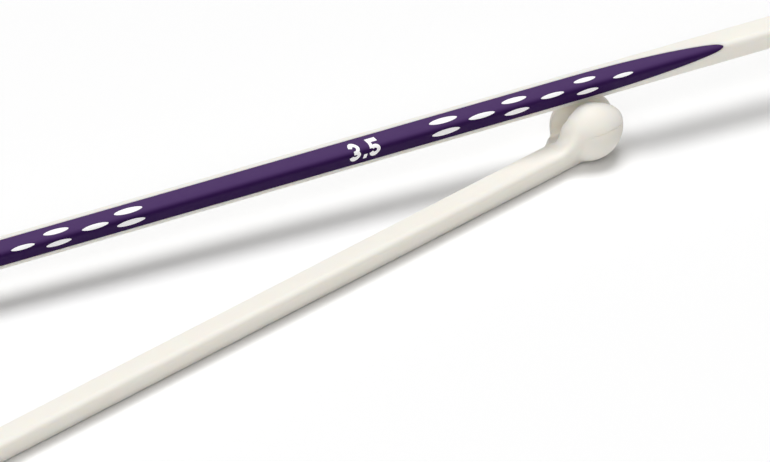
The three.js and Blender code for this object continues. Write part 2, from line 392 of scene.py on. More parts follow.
@dataclass(frozen=True)
class SlitWall:
    """A wall of the slit, by its distance from the slit's middle at its foot and at its lip.

    Each of the two is a row of points along the slit: a place, as a share of the ball's radius,
    and the wall's distance there.
    """

    foot: tuple[tuple[float, float], ...]
    lip: tuple[tuple[float, float], ...]

    def distance(self, place: float, lift: float) -> float:
        """How far the wall stands off the slit's middle.

        Args:
            place: Place along the slit, as a share of the ball's radius.
            lift: Share of the way from the wall's foot to its lip.

        Returns:
            The distance.
        """
        return blend(self._along(self.foot, place), self._along(self.lip, place), eased(lift))

    @staticmethod
    def _along(points: tuple[tuple[float, float], ...], place: float) -> float:
        """Read a row of points at a place, with a gentle passage from each to the next.

        Args:
            points: The row.
            place: Place along the slit, as a share of the ball's radius.

        Returns:
            The distance there.
        """
        for (start, low), (end, high) in zip(points, points[1:]):
            if place <= end:
                return blend(low, high, eased((place - start) / (end - start)))
        return points[-1][1]


FRONT_WALL = SlitWall(
    foot=((-1.0, 1.2), (-0.1, 0.78), (1.0, 1.1)),
    lip=((-1.0, 1.1), (-0.72, 1.5), (-0.25, 1.12), (0.42, 1.68), (0.7, 1.62), (1.0, 1.15)),
)

REAR_WALL = SlitWall(
    foot=((-1.0, 1.3), (-0.1, 0.78), (1.0, 0.95)),
    lip=((-1.0, 1.2), (-0.72, 1.5), (-0.2, 0.9), (1.0, 1.0)),
)


@dataclass
class SplitBall:
    """The ball on a hollow-sided neck, with a slit across it that grips a second needle."""

    section: Section
    radius: float = 4.14
    top: float = 3.55
    rise: float = 2.25
    neck_length: float = 1.4
    ball_steps: tuple[int, int] = (96, 64)
    neck_meeting: float = math.radians(40)
    neck_fullness: float = 0.94
    neck_swelling: float = 2.6
    neck_rounding: float = 1.6
    neck_steps: int = 20
    least_reach: float = 0.02
    front_wall: SlitWall = FRONT_WALL
    rear_wall: SlitWall = REAR_WALL
    lip_height: float = 1.7
    wall_cuts: int = 23
    channel_top: float = 6.21
    slit_floor: float = -0.35
    floor_drop: float = 0.4
    floor_drop_start: float = -0.3
    floor_corner_steps: int = 6
    slit_floor_radius: float = 0.4
    slit_skew: float = math.radians(18.8)
    slit_steps: int = 24
    stub: float = 3.0
    voxel: float = 0.09
    softening_run: float = 2.07
    fillet_passes: int = 40
    lip_passes: int = 50
    crease_tilt: float = math.radians(17.4)
    crease_drop: float = 0.84
    crease_half_width: float = 0.09
    crease_depth: float = 0.08
    crease_reach: float = 0.85
    crease_fade: float = 1.2
    crease_on_ball: float = 0.97

    @property
    def neck_start(self) -> float:
        """Where the neck leaves the shaft's plain section."""
        return -self.radius - self.neck_length

    @property
    def centre(self) -> Vector:
        """The ball's centre."""
        return Vector((0.0, 0.0, self.rise))

    def build(self) -> Shape:
        """Build the head of the needle, left open where it joins the shaft.

        Returns:
            The bmesh of ball, neck and a stub of shaft.
        """
        solid = self._neck()
        round_steps, height_steps = self.ball_steps
        sphere = bmesh.ops.create_uvsphere(
            solid, u_segments=round_steps, v_segments=height_steps, radius=self.radius
        )["verts"]
        upper = [v for v in sphere if v.co.z > 0]
        bmesh.ops.scale(solid, verts=upper, vec=(1.0, 1.0, self.top / self.radius))
        bmesh.ops.translate(solid, verts=sphere, vec=self.centre)
        head = Bench.reskin(solid, self.voxel)
        self._soften(head, self.neck_start, self.fillet_passes)
        split = Bench.combine([head, self._slit()], Combining.CUT_AWAY)
        head = Bench.reskin(split, self.voxel)
        self._soften(head, self.neck_start / 2, self.lip_passes)
        self._crease(head)
        self._open(head)
        return head

    def _neck(self) -> Shape:
        """Loft the straight core under the ball, and the neck that swells round it.

        Returns:
            The bmesh of both.
        """
        loft = Loft(self.section)
        start = self.neck_start - self.stub
        loft.add_plain(start)
        loft.add_plain(0.0)
        loft.close()
        loft.add_plain(start)
        reach, radius = self.section.edge_reach, self.section.edge_radius
        end = -self.radius * math.cos(self.neck_meeting)
        end_radius = self.radius * math.sin(self.neck_meeting) * self.neck_fullness
        for step in range(self.neck_steps + 1):
            share = step / self.neck_steps
            swelling = share**self.neck_swelling
            rounding = min(swelling**self.neck_rounding, 1 - self.least_reach)
            loft.add(
                Station(
                    x=blend(self.neck_start, end, share),
                    reach=blend(reach, 0.0, rounding),
                    radius=blend(radius, end_radius, swelling),
                    rise=self.rise * share**2,
                )
            )
        return loft.closed()

    def _slit(self) -> Shape:
        """Shape the space of the slit: a channel that widens towards its lips and its mouths.

        Returns:
            The channel, which reaches past the ball on every open side.
        """
        channel = bmesh.new()
        top, start = self.channel_top, -2 * self.radius
        corners = [(-1.0, top), (-1.0, self.slit_floor), (1.0, self.slit_floor), (1.0, top)]
        outline = [channel.verts.new((start, across, up)) for across, up in corners]
        channel.faces.new(outline)
        bmesh.ops.bevel(
            channel,
            geom=outline[1:3],
            offset=self.slit_floor_radius,
            segments=self.floor_corner_steps,
            profile=0.5,
            affect="VERTICES",
            material=-1,
        )
        sides = [e for e in channel.edges if e.calc_length() > self.radius]
        bmesh.ops.subdivide_edges(channel, edges=sides, cuts=self.wall_cuts)
        front = channel.faces[:]
        step_length = 2 * self.radius / self.slit_steps
        for _ in range(2 * self.slit_steps):
            region = [*front, *{e for f in front for e in f.edges}]
            drawn = bmesh.ops.extrude_face_region(channel, geom=region)["geom"]
            front = faces_among(drawn)
            bmesh.ops.translate(channel, verts=verts_among(drawn), vec=(step_length, 0.0, 0.0))
        for vert in channel.verts:
            place = min(max(vert.co.x / self.radius, -1.0), 1.0)
            lip = self.top * math.sqrt(1 - place * place)
            wall = self.front_wall if vert.co.y < 0 else self.rear_wall
            vert.co.y *= wall.distance(place, 1 - (lip - vert.co.z) / self.lip_height)
            past = (place - self.floor_drop_start) / (-1.0 - self.floor_drop_start)
            vert.co.z -= self.floor_drop * eased(past)
        Bench.face_outwards(channel)
        turn = Matrix.Translation(self.centre) @ Matrix.Rotation(-self.slit_skew, 4, "Z")
        bmesh.ops.transform(channel, matrix=turn, verts=channel.verts[:])
        return channel

    def _soften(self, head: Shape, start: float, passes: int) -> None:
        """Smooth the head beyond a place along the needle, a little further on at each pass.

        Args:
            head: The head.
            start: Where the smoothing starts.
            passes: How many times the head is smoothed.
        """
        for step in range(passes):
            edge = start + self.softening_run * step / passes
            soft = [v for v in head.verts if v.co.x > edge]
            bmesh.ops.smooth_vert(
                head, verts=soft, factor=0.5, use_axis_x=True, use_axis_y=True, use_axis_z=True
            )

    def _crease(self, head: Shape) -> None:
        """Press the fine parting line of the mould into the ball.

        Args:
            head: The head.
        """
        normal = turned(math.pi / 2 - self.crease_tilt)
        for offset in (-self.crease_half_width, 0.0, self.crease_half_width):
            place = self.centre + normal * (offset - self.crease_drop)
            near = [f for f in head.faces if f.calc_center_median().x > -self.radius]
            edges = {e for f in near for e in f.edges}
            verts = {v for f in near for v in f.verts}
            cut = bmesh.ops.bisect_plane(
                head,
                geom=[*verts, *edges, *near],
                dist=CUTTING_DISTANCE,
                plane_co=place,
                plane_no=normal,
            )
            if offset == 0.0:
                line = verts_among(cut["geom_cut"])
        for point in line:
            out = point.co - self.centre
            fade = eased((point.co.x + self.radius * self.crease_reach) / self.crease_fade)
            if out.length > self.radius * self.crease_on_ball:
                point.co -= out.normalized() * self.crease_depth * fade

    def _open(self, head: Shape) -> None:
        """Cut the stub square, so that the shaft can be bridged to it."""
        Bench.bisect(head, ALONG * (self.neck_start - self.stub / 2), ALONG, clear_below=True)


@dataclass
class EdgeSkin:
    """The shaft's surface about one of its edges, as seen looking straight at that edge.

    A shape is drawn flat, along the needle and across the edge, with its height off the surface as
    the third coordinate, and is then wrapped on to the shaft.
    """

    section: Section
    edge_angle: float = math.radians(30)

    def wrap(self, shape: Shape) -> Shape:
        """Wrap a flat shape on to the surface.

        Args:
            shape: The flat shape.

        Returns:
            The same bmesh, wrapped.
        """
        for vert in shape.verts:
            vert.co = self._point(vert.co.x, vert.co.y, vert.co.z)
        return shape

    def seen_across(self, distance: float) -> float:
        """How wide a distance along the surface looks from straight ahead.

        Args:
            distance: The distance from the edge.

        Returns:
            The breadth that is seen.
        """
        radius, arc = self.section.edge_radius, self.section.edge_arc
        on_arc = min(distance, radius * arc)
        return radius * math.sin(on_arc / radius) + (distance - on_arc) * math.cos(arc)

    def _point(self, x: float, across: float, height: float) -> Vector:
        """A point on or off the surface.

        Args:
            x: Place along the needle.
            across: Distance from the edge, seen from straight ahead.
            height: How far the point stands off the surface.

        Returns:
            The point in the needle's frame.
        """
        radius, arc = self.section.edge_radius, self.section.edge_arc
        bend = radius * math.sin(arc)
        on_arc = min(abs(across), bend)
        angle = math.asin(on_arc / radius)
        on_flat = (abs(across) - on_arc) / math.cos(arc)
        out = self.section.edge_reach + (radius + height) * math.cos(angle)
        out -= on_flat * math.sin(angle)
        side = (radius + height) * math.sin(angle) + on_flat * math.cos(angle)
        outwards = turned(self.edge_angle)
        sideways = turned(self.edge_angle - math.pi / 2)
        return ALONG * x + outwards * out + sideways * math.copysign(side, across)


@dataclass
class GripOverlay:
    """The violet strip along one edge, with lens-shaped windows and pointed ends."""

    skin: EdgeSkin
    middle: float
    length: float = 108.8
    span: float = 4.82
    thickness: float = 0.4
    taper: float = 18.0
    fullness: float = 0.65
    blunt: float = 0.02
    rim: float = 0.06
    seam: float = 0.02
    cells_along: int = 300
    cells_across: int = 32

    def half_breadth(self, place: float, margin: float = 0.0) -> float:
        """Half of the strip's breadth at a place, as seen from straight ahead.

        Args:
            place: Distance from the strip's middle.
            margin: How much wider than the strip.

        Returns:
            The half breadth.
        """
        inset = self.length / 2 - abs(place)
        share = min(max(inset / self.taper, 0.0), 1.0)
        fullness = (1 - (1 - share) ** 2) ** self.fullness
        return self.skin.seen_across(self.span / 2 * fullness + margin)

    def build(self, windows: list[Shape]) -> Shape:
        """Build the strip.

        Args:
            windows: Flat shapes that are cut out of it.

        Returns:
            The wrapped strip.
        """
        strip = self._plate(0.0, 0.0, self.thickness, self.rim)
        for window in windows:
            strip = Bench.combine([strip, window], Combining.CUT_AWAY)
        bmesh.ops.remove_doubles(strip, verts=strip.verts[:], dist=MERGING_DISTANCE)
        bmesh.ops.dissolve_degenerate(strip, edges=strip.edges[:], dist=MERGING_DISTANCE)
        bmesh.ops.triangulate(strip, faces=[f for f in strip.faces if len(f.verts) > 4])
        return self.skin.wrap(strip)

    def recess(self) -> Shape:
        """The space that the ivory shaft leaves for the strip.

        Returns:
            The wrapped space, which reaches well above the shaft's surface.
        """
        height = self.skin.section.edge_radius
        depth = self.thickness + self.seam + height
        return self.skin.wrap(self._plate(self.seam, height, depth, 0.0))

    def _plate(self, margin: float, top: float, depth: float, rim: float) -> Shape:
        """Shape a flat plate of the strip's outline.

        Args:
            margin: How much wider and longer than the strip.
            top: Height of the plate's upper side.
            depth: Thickness of the plate.
            rim: Radius of the rounding along the plate's upper outline.

        Returns:
            The plate, which is not wrapped yet.
        """
        plate = bmesh.new()
        bmesh.ops.create_grid(
            plate, x_segments=self.cells_along, y_segments=self.cells_across, size=1.0
        )
        end = self.length / 2
        for vert in plate.verts:
            place = (end - self.blunt) * math.sin(vert.co.x * math.pi / 2)
            half = self.half_breadth(place, margin)
            across = math.sin(vert.co.y * math.pi / 2)
            sunk = self._sunk((1 - abs(across)) * half, rim)
            x = self.middle + place + math.copysign(margin, place)
            vert.co = (x, across * half, top - sunk)
        drawn = bmesh.ops.extrude_face_region(plate, geom=plate.faces[:])["geom"]
        for vert in verts_among(drawn):
            vert.co.z = top - depth
        Bench.face_outwards(plate)
        return plate

    @staticmethod
    def _sunk(inset: float, rim: float) -> float:
        """How far a rounded rim sinks.

        Args:
            inset: Distance from the outline.
            rim: The rim's radius.

        Returns:
            The drop below the plate's upper side.
        """
        if inset >= rim:
            return 0.0
        return rim - math.sqrt(rim * rim - (rim - inset) ** 2)


@dataclass
class LensMarks:
    """The white lenses of the overlay, in two clusters of pairs and single ones by turns."""

    skin: EdgeSkin
    middle: float
    columns: int = 6
    offset: float = -0.2
    first: float = 19.45
    pitch: float = 4.42
    length: float = 3.45
    breadth: float = 0.57
    pointing: float = 0.2
    shrink: float = 0.055
    row: float = 0.645
    proud: float = 0.02
    depth: float = 0.4
    clear: float = 0.2
    slice: float = 0.08
    outline_steps: int = 64

    def places(self) -> list[tuple[float, float, float]]:
        """Work out where the lenses lie.

        Returns:
            For each lens its place along the needle, its row and its share of full size.
        """
        found = []
        for column in range(self.columns):
            rows = (-self.row, self.row) if column % 2 == 0 else (0.0,)
            size = 1 - self.shrink * column
            for side in (-1, 1):
                x = self.middle + self.offset + side * (self.first + self.pitch * column)
                found += [(x, row, size) for row in rows]
        return found

    def windows(self, gap: float) -> list[Shape]:
        """The flat spaces that the overlay leaves for the lenses, each wider by a gap."""
        height, low = self.depth + 2 * self.clear, -self.depth - self.clear
        return [self._lens(place, gap, height, low) for place in self.places()]

    def build(self) -> Shape:
        """Build all lenses.

        Returns:
            One bmesh of separate closed shapes, wrapped on to the shaft.
        """
        marks = bmesh.new()
        for place in self.places():
            lens = self._lens(place, 0.0, self.proud + self.depth, -self.depth)
            Bench.slice_across(lens, self.slice)
            Bench.gather(marks, lens)
        return self.skin.wrap(marks)

    def _lens(
        self, place: tuple[float, float, float], gap: float, height: float, low: float
    ) -> Shape:
        """Shape one lens as a flat prism with slightly pointed ends.

        Args:
            place: Place along the needle, row and share of full size.
            gap: How much the outline is grown.
            height: The prism's height.
            low: Height of the prism's lower side.

        Returns:
            The prism.
        """
        x, row, size = place
        half_length = self.length * size / 2 + gap
        half_breadth = self.breadth * size / 2 + gap
        lens = bmesh.new()
        bmesh.ops.create_circle(lens, cap_ends=True, radius=1.0, segments=self.outline_steps)
        for vert in lens.verts:
            vert.co.y *= abs(vert.co.y) ** self.pointing
        bmesh.ops.scale(lens, verts=lens.verts[:], vec=(half_length, half_breadth, 1.0))
        Bench.thicken(lens, height)
        Bench.move(lens, (x, row, low))
        return lens


@dataclass(frozen=True)
class Bowl:
    """The round of a digit: where it starts and ends, clockwise, and its share of the breadth."""

    first: float
    last: float
    breadth_share: float = 1.0


@dataclass
class SizeNumber:
    """The needle's size, 3.5, printed in bold narrow digits across the overlay's edge."""

    skin: EdgeSkin
    middle: float
    offset: float = -9.55
    height: float = 1.95
    digit_breadth: float = 1.34
    stroke: float = 0.42
    spacing: float = 1.21
    point_size: float = 0.42
    point_place: float = 0.12
    three_top: Bowl = Bowl(math.radians(165), math.radians(-90), 0.94)
    three_foot: Bowl = Bowl(math.radians(90), math.radians(-165))
    three_foot_height: float = 0.53
    three_tongue: float = 0.3
    five_bowl: Bowl = Bowl(math.radians(140), math.radians(-160))
    five_bowl_height: float = 0.64
    five_flag: float = 0.9
    five_stem: float = 0.95
    five_stem_place: float = 0.62
    five_stem_foot: float = 0.9
    proud: float = 0.012
    depth: float = 0.03
    slice: float = 0.06
    arc_steps: int = 28

    def build(self) -> Shape:
        """Draw the digits as flat prisms and wrap them on to the shaft.

        Returns:
            The wrapped number.
        """
        number = bmesh.new()
        for digit, place in (
            (self._three(), -self.spacing),
            (self._point(), self.point_place),
            (self._five(), self.spacing),
        ):
            Bench.move(digit, (place, 0.0, -self.depth))
            Bench.gather(number, digit)
        turn = Matrix.Rotation(math.pi, 4, "Z")
        move = Matrix.Translation((self.middle + self.offset, 0.0, 0.0))
        bmesh.ops.transform(number, matrix=move @ turn, verts=number.verts[:])
        Bench.face_outwards(number)
        Bench.slice_across(number, self.slice)
        return self.skin.wrap(number)

    def _three(self) -> Shape:
        """Draw the three: two bowls that meet in its middle, and a short tongue between them.

        Returns:
            The digit as a prism.
        """
        foot = self.height * self.three_foot_height
        top = self.height - foot + self.stroke
        strokes = [
            self._bowl(self.three_top, (self.height - top) / 2, top),
            self._bowl(self.three_foot, (foot - self.height) / 2, foot),
            self._bar(0.0, (self.height + self.stroke) / 2 - top, self.three_tongue, self.stroke),
        ]
        return Bench.combine(strokes, Combining.JOINED)

    def _five(self) -> Shape:
        """Draw the five: a flag, a stem and a bowl below them.

        Returns:
            The digit as a prism.
        """
        bowl = self.height * self.five_bowl_height
        left, top = -self.digit_breadth / 2, self.height / 2
        flag = self.digit_breadth * self.five_flag
        stem = self.height - bowl + self.stroke * self.five_stem_foot
        stem_place = left + self.stroke * self.five_stem_place
        strokes = [
            self._bowl(self.five_bowl, (bowl - self.height) / 2, bowl),
            self._bar(0.0, top - self.stroke / 2, flag, self.stroke),
            self._bar(stem_place, top - stem / 2, self.stroke * self.five_stem, stem),
        ]
        return Bench.combine(strokes, Combining.JOINED)

    def _point(self) -> Shape:
        """The point on the line that the digits stand on."""
        size = self.point_size
        return self._bar(0.0, (size - self.height) / 2, size, size)

    def _bowl(self, form: Bowl, middle: float, height: float) -> Shape:
        """Spin a stroke's breadth round a bowl, then draw it in with its stroke's breadth kept.

        Args:
            form: The bowl's form.
            middle: Height of its centre.
            height: Its height over all.

        Returns:
            The bowl as a prism.
        """
        bowl = bmesh.new()
        outer = height / 2
        inner = outer - self.stroke
        start = Vector((math.cos(form.first), math.sin(form.first), 0.0))
        across = [bowl.verts.new(start * reach) for reach in (outer, inner)]
        bmesh.ops.spin(
            bowl,
            geom=[*across, bowl.edges.new(across)],
            cent=(0.0, 0.0, 0.0),
            axis=(0.0, 0.0, -1.0),
            angle=form.first - form.last,
            steps=self.arc_steps,
            use_merge=False,
        )
        outer_squeeze = self.digit_breadth * form.breadth_share / height
        inner_squeeze = (outer_squeeze * outer - self.stroke) / inner
        for vert in bowl.verts:
            on_inner = vert.co.length < (outer + inner) / 2
            vert.co.x *= inner_squeeze if on_inner else outer_squeeze
        Bench.move(bowl, (0.0, middle, 0.0))
        return Bench.thicken(bowl, self.depth + self.proud)

    def _bar(self, across: float, up: float, breadth: float, height: float) -> Shape:
        """Draw a straight stroke.

        Args:
            across: Place of its middle across the digit.
            up: Height of its middle.
            breadth: Its breadth.
            height: Its height.

        Returns:
            The stroke as a prism.
        """
        bar = bmesh.new()
        bmesh.ops.create_grid(bar, x_segments=1, y_segments=1, size=0.5)
        bmesh.ops.scale(bar, verts=bar.verts[:], vec=(breadth, height, 1.0))
        Bench.move(bar, (across, up, 0.0))
        return Bench.thicken(bar, self.depth + self.proud)


@dataclass
class IvoryMoulding:
    """Shaft with its drop-shaped point, overlay recess, neck and split ball, all in one skin."""

    section: Section
    ball: SplitBall
    overlay: GripOverlay
    length: float = 350.0
    point_radius: float = 0.45
    drop_radius: float = 1.6
    drop_place: float = 10.0
    waist_radius: float = 1.42
    waist_place: float = 21.0
    shaft_place: float = 36.0
    round_reach: float = 0.02
    shaft_lengths: int = 24
    cap_depth: float = 0.001

    def build(self) -> Shape:
        """Build the moulding.

        Returns:
            The closed bmesh, in the needle's frame.
        """
        shaft = Bench.combine([self._shaft(), self.overlay.recess()], Combining.CUT_AWAY)
        end = max(v.co.x for v in shaft.verts)
        cap = [f for f in shaft.faces if all(v.co.x > end - self.cap_depth for v in f.verts)]
        bmesh.ops.delete(shaft, geom=cap, context="FACES")
        Bench.gather(shaft, self.ball.build())
        open_edges = [e for e in shaft.edges if e.is_boundary]
        bmesh.ops.bridge_loops(shaft, edges=open_edges)
        Bench.face_outwards(shaft)
        return shaft

    def _shaft(self) -> Shape:
        """Loft the shaft from its point to the stub of the split ball.

        Returns:
            The closed shaft.
        """
        loft = Loft(self.section)
        for station in self._point_stations():
            loft.add(station)
        start = self.ball.radius - self.length + self.shaft_place
        end = self.ball.neck_start - self.ball.stub
        for step in range(1, self.shaft_lengths + 1):
            loft.add_plain(blend(start, end, step / self.shaft_lengths))
        return loft.closed()

    def _point_stations(self) -> list[Station]:
        """Work out the rings from the very end of the point to where the section is full.

        Returns:
            The rings' stations.
        """
        tip = self.ball.radius - self.length
        stations = []

        def add(place: float, radius: float, reach: float = 0.0) -> None:
            """Add a ring at a place measured from the end of the point."""
            stations.append(Station(tip + place, max(reach, self.round_reach), radius))

        tip_steps, drop_steps, waist_steps, blend_steps = 8, 14, 12, 20
        for step in range(1, tip_steps):
            angle = step / tip_steps * math.pi / 2
            add(self.point_radius * (1 - math.cos(angle)), self.point_radius * math.sin(angle))
        for step in range(drop_steps + 1):
            share = step / drop_steps
            swell = math.sin(share * math.pi / 2)
            add(
                blend(self.point_radius, self.drop_place, share),
                blend(self.point_radius, self.drop_radius, swell),
            )
        for step in range(1, waist_steps + 1):
            share = step / waist_steps
            add(
                blend(self.drop_place, self.waist_place, share),
                blend(self.drop_radius, self.waist_radius, eased(share)),
            )
        for step in range(1, blend_steps + 1):
            share = step / blend_steps
            add(
                blend(self.waist_place, self.shaft_place, share),
                blend(self.waist_radius, self.section.edge_radius, eased(share)),
                self.section.edge_reach * eased(share),
            )
        return stations


@dataclass
class RestingPlace:
    """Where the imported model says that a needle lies."""

    needle: Needle
    point_x: float
    first_ring: float = 0.0124
    ring_depth: float = 0.05 * MILLIMETRE
    ring_digits: int = 7

    def matrix(self) -> Matrix:
        """The turn, place and scale that take a mesh from the needle's frame to the pair's.

        Returns:
            The matrix.
        """
        shaft = frame["nodes"][f"{self.needle.value}_shaft"]
        points = [v.co for v in shaft.data.vertices]
        ends = [min(points, key=lambda p: p.x), max(points, key=lambda p: p.x)]
        ball_low, ball_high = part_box(f"{self.needle.value}_split_ball")
        ball = (ball_low + ball_high) / 2
        ends.sort(key=lambda p: (p - ball).length, reverse=True)
        rough = (ends[1] - ends[0]).normalized()
        tip = self._end(points, -rough)
        along = (self._end(points, rough) - tip).normalized()
        up = self._flat_normal()
        up = (up - along * up.dot(along)).normalized()
        side = up.cross(along)
        turn = Matrix((along, side, up)).transposed().to_4x4()
        origin = tip - along * ((self.point_x + self.first_ring) * MILLIMETRE)
        return Matrix.Translation(origin) @ turn @ Matrix.Scale(MILLIMETRE, 4)

    def _end(self, points: list[Vector], direction: Vector) -> Vector:
        """Find the middle of the ring of points that lie furthest in a direction.

        Args:
            points: The points.
            direction: The direction.

        Returns:
            The middle.
        """
        least = max(p.dot(direction) for p in points) - self.ring_depth
        ring = {p.to_tuple(self.ring_digits) for p in points if p.dot(direction) > least}
        return sum((Vector(p) for p in ring), Vector()) / len(ring)

    def _flat_normal(self) -> Vector:
        """Read the way that the shaft's upper flat faces, from the needle's mount.

        Returns:
            The unit normal.
        """
        name = f"{self.needle.value}_shaft_upper_flat"
        mount = next(m for m in frame["record"]["mounts"] if m["name"] == name)
        return Vector(mount["axis"]).normalized()


class NodeBoard:
    """A node tree, with short ways to add and join nodes."""

    noise_range = (0.3, 0.7)

    def __init__(self, owner: bpy.types.Material | bpy.types.World, output: str) -> None:
        """Empty the tree of a material or the world, down to an output.

        Args:
            owner: What the tree belongs to.
            output: The kind of its output node.
        """
        owner.use_nodes = True
        self.owner = owner
        self.tree = owner.node_tree
        self.tree.nodes.clear()
        self.surface = self.tree.nodes.new(output).inputs["Surface"]

    @classmethod
    def for_material(cls, name: str) -> "NodeBoard":
        """A new material's board."""
        return cls(bpy.data.materials.new(name), "ShaderNodeOutputMaterial")

    def node(
        self, kind: str, inputs: dict[str, object] | None = None, **settings: object
    ) -> bpy.types.Node:
        """Add a node.

        Args:
            kind: The kind of node.
            inputs: By an input's name, its value or the output that is joined to it.
            settings: The node's own settings.

        Returns:
            The node.
        """
        made = self.tree.nodes.new(kind)
        for name, value in settings.items():
            setattr(made, name, value)
        for name, value in (inputs or {}).items():
            if isinstance(value, Socket):
                self.join(value, made.inputs[name])
            else:
                made.inputs[name].default_value = value
        return made

    def join(self, source: Socket, target: Socket) -> None:
        """Link an output to an input."""
        self.tree.links.new(source, target)

    def noise(self, size: float, detail: float) -> Socket:
        """Add a noise over the object.

        Args:
            size: The size of its blotches, in metres.
            detail: How many finer layers it has.

        Returns:
            The noise.
        """
        place = self.node("ShaderNodeTexCoord").outputs["Object"]
        values = {"Vector": place, "Scale": 1 / size, "Detail": detail}
        return self.node("ShaderNodeTexNoise", values).outputs["Fac"]

    def between(self, factor: Socket, low: float, high: float) -> Socket:
        """Spread a noise's middle range over the values from low to high.

        Args:
            factor: The noise.
            low: The value at the range's lower end.
            high: The value at its upper end.

        Returns:
            The spread value.
        """
        first, last = self.noise_range
        values = {"Value": factor, "From Min": first, "From Max": last, "To Min": low, "To Max": high}
        return self.node("ShaderNodeMapRange", values).outputs["Result"]

    def mix(self, first: Colour | Socket, second: Colour, share: Socket) -> Socket:
        """Mix two colours.

        Args:
            first: The colour where the share is 0, or an output that gives it.
            second: The colour where the share is 1.
            share: The share.

        Returns:
            The mixed colour.
        """
        if not isinstance(first, Socket):
            first = (*first, 1.0)
        values = {"A": first, "B": (*second, 1.0), "Factor": share}
        return self.node("ShaderNodeMix", values, data_type="RGBA").outputs["Result"]

    def bump(self, height: Socket, depth: float, before: Socket | None = None) -> Socket:
        """Add a bump to a normal.

        Args:
            height: The bump's pattern.
            depth: Its depth, in metres.
            before: The normal that it is added to, if that isn't the mesh's own.

        Returns:
            The new normal.
        """
        values = {"Height": height, "Distance": depth}
        if before:
            values["Normal"] = before
        return self.node("ShaderNodeBump", values).outputs["Normal"]

    def seen(self) -> Socket:
        """Tell the rays that see the background: the camera's, reflections and those through glass.

        Returns:
            1 for such a ray and 0 for others.
        """
        path = self.node("ShaderNodeLightPath").outputs
        seen = path["Is Camera Ray"]
        for name in ("Is Glossy Ray", "Is Transmission Ray"):
            either = self.node("ShaderNodeMath", operation="MAXIMUM")
            self.join(seen, either.inputs[0])
            self.join(path[name], either.inputs[1])
            seen = either.outputs["Value"]
        return seen


@dataclass(frozen=True)
class PlasticFinish:
    """A moulded plastic: its colour, a fainter second tone, its sheen and its fine grain, with a
    painted sheen on the sides that face up and a painted glow where these are set.
    """

    name: str
    colour: Colour
    second_tone: Colour
    roughness: float
    roughness_spread: float
    specular: float
    blotch: float
    grain: float
    grain_depth: float
    ripple: float
    ripple_depth: float
    gloss_fineness: float = 3.0
    depth_of_light: float = 0.0
    depth_share: float = 0.6
    depth_tint: tuple[float, float, float] = (1.0, 0.8, 0.6)
    # Painted sheen: the paler tone painted on sides that face up, and the upward share of the normal
    # at which it is full
    painted_sheen: Colour | None = None
    painted_sheen_full: float = 0.95
    # Painted glow: strength of a white emission by which the surface lights itself
    painted_glow: float = 0.0

    def material(self) -> bpy.types.Material:
        """Build the finish's material.

        Returns:
            The material.
        """
        board = NodeBoard.for_material(self.name)
        blotches = board.between(board.noise(self.blotch, detail=3.0), 0.0, 1.0)
        colour = board.mix(self.colour, self.second_tone, blotches)
        # Painted sheen: sides that face up are painted paler, standing in for the sheen of the light
        # from above
        if self.painted_sheen:
            colour = self._with_painted_sheen(board, colour)
        gloss = board.between(
            board.noise(self.blotch / self.gloss_fineness, detail=4.0),
            self.roughness - self.roughness_spread,
            self.roughness + self.roughness_spread,
        )
        ripple, grain = board.noise(self.ripple, detail=1.0), board.noise(self.grain, detail=2.0)
        rippled = board.bump(ripple, self.ripple_depth)
        values = {
            "Base Color": colour,
            "Roughness": gloss,
            "Normal": board.bump(grain, self.grain_depth, before=rippled),
            "Specular IOR Level": self.specular,
            # Painted glow: the surface gives off its own white light
            "Emission Color": WHITE_LIGHT,
            "Emission Strength": self.painted_glow,
        }
        if self.depth_of_light:
            values["Subsurface Weight"] = self.depth_share
            values["Subsurface Radius"] = self.depth_tint
            values["Subsurface Scale"] = self.depth_of_light
        shader = board.node("ShaderNodeBsdfPrincipled", values)
        board.join(shader.outputs["BSDF"], board.surface)
        return board.owner

    def _with_painted_sheen(self, board: NodeBoard, colour: Socket) -> Socket:
        """Paint a paler tone on the sides that face up, a painted sheen of the light from above.

        Args:
            board: The material's board.
            colour: The colour of the other sides.

        Returns:
            The colour with its painted sheen.
        """
        outwards = board.node("ShaderNodeTexCoord").outputs["Normal"]
        facing = board.node("ShaderNodeSeparateXYZ", {"Vector": outwards}).outputs["Z"]
        values = {"Value": facing, "From Min": 0.0, "From Max": self.painted_sheen_full}
        share = board.node("ShaderNodeMapRange", values, interpolation_type="SMOOTHSTEP")
        return board.mix(colour, self.painted_sheen, share.outputs["Result"])


IVORY = PlasticFinish(
    name="ivory_moulded_plastic",
    colour=(0.93, 0.896, 0.825),
    second_tone=(0.918, 0.88, 0.804),
    roughness=0.5,
    roughness_spread=0.05,
    specular=0.25,
    blotch=0.006,
    grain=0.00012,
    grain_depth=0.0000012,
    ripple=0.004,
    ripple_depth=0.000006,
    depth_of_light=0.0012,
)

VIOLET = PlasticFinish(
    name="violet_satin_plastic",
    colour=(0.024, 0.004, 0.06),
    second_tone=(0.028, 0.005, 0.066),
    roughness=0.6,
    roughness_spread=0.05,
    specular=0.06,
    blotch=0.003,
    grain=0.0001,
    grain_depth=0.000003,
    ripple=0.003,
    ripple_depth=0.000004,
    # Painted sheen: paler violet painted on the sides that face up
    painted_sheen=(0.075, 0.036, 0.128),
)

WHITE = PlasticFinish(
    name="white_print",
    colour=(0.97, 0.96, 0.97),
    second_tone=(0.95, 0.94, 0.95),
    roughness=0.5,
    roughness_spread=0.04,
    specular=0.4,
    blotch=0.002,
    grain=0.00012,
    grain_depth=0.000002,
    ripple=0.003,
    ripple_depth=0.000002,
    # Painted glow: the white print lights itself a little, so that it stays bright in shade
    painted_glow=0.1,
)


@dataclass
class Piece:
    """A shape of either needle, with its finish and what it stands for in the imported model."""

    name: str
    shape: Shape
    material: bpy.types.Material
    slot: Slot | None = None
    nodes: tuple[str, ...] = ()


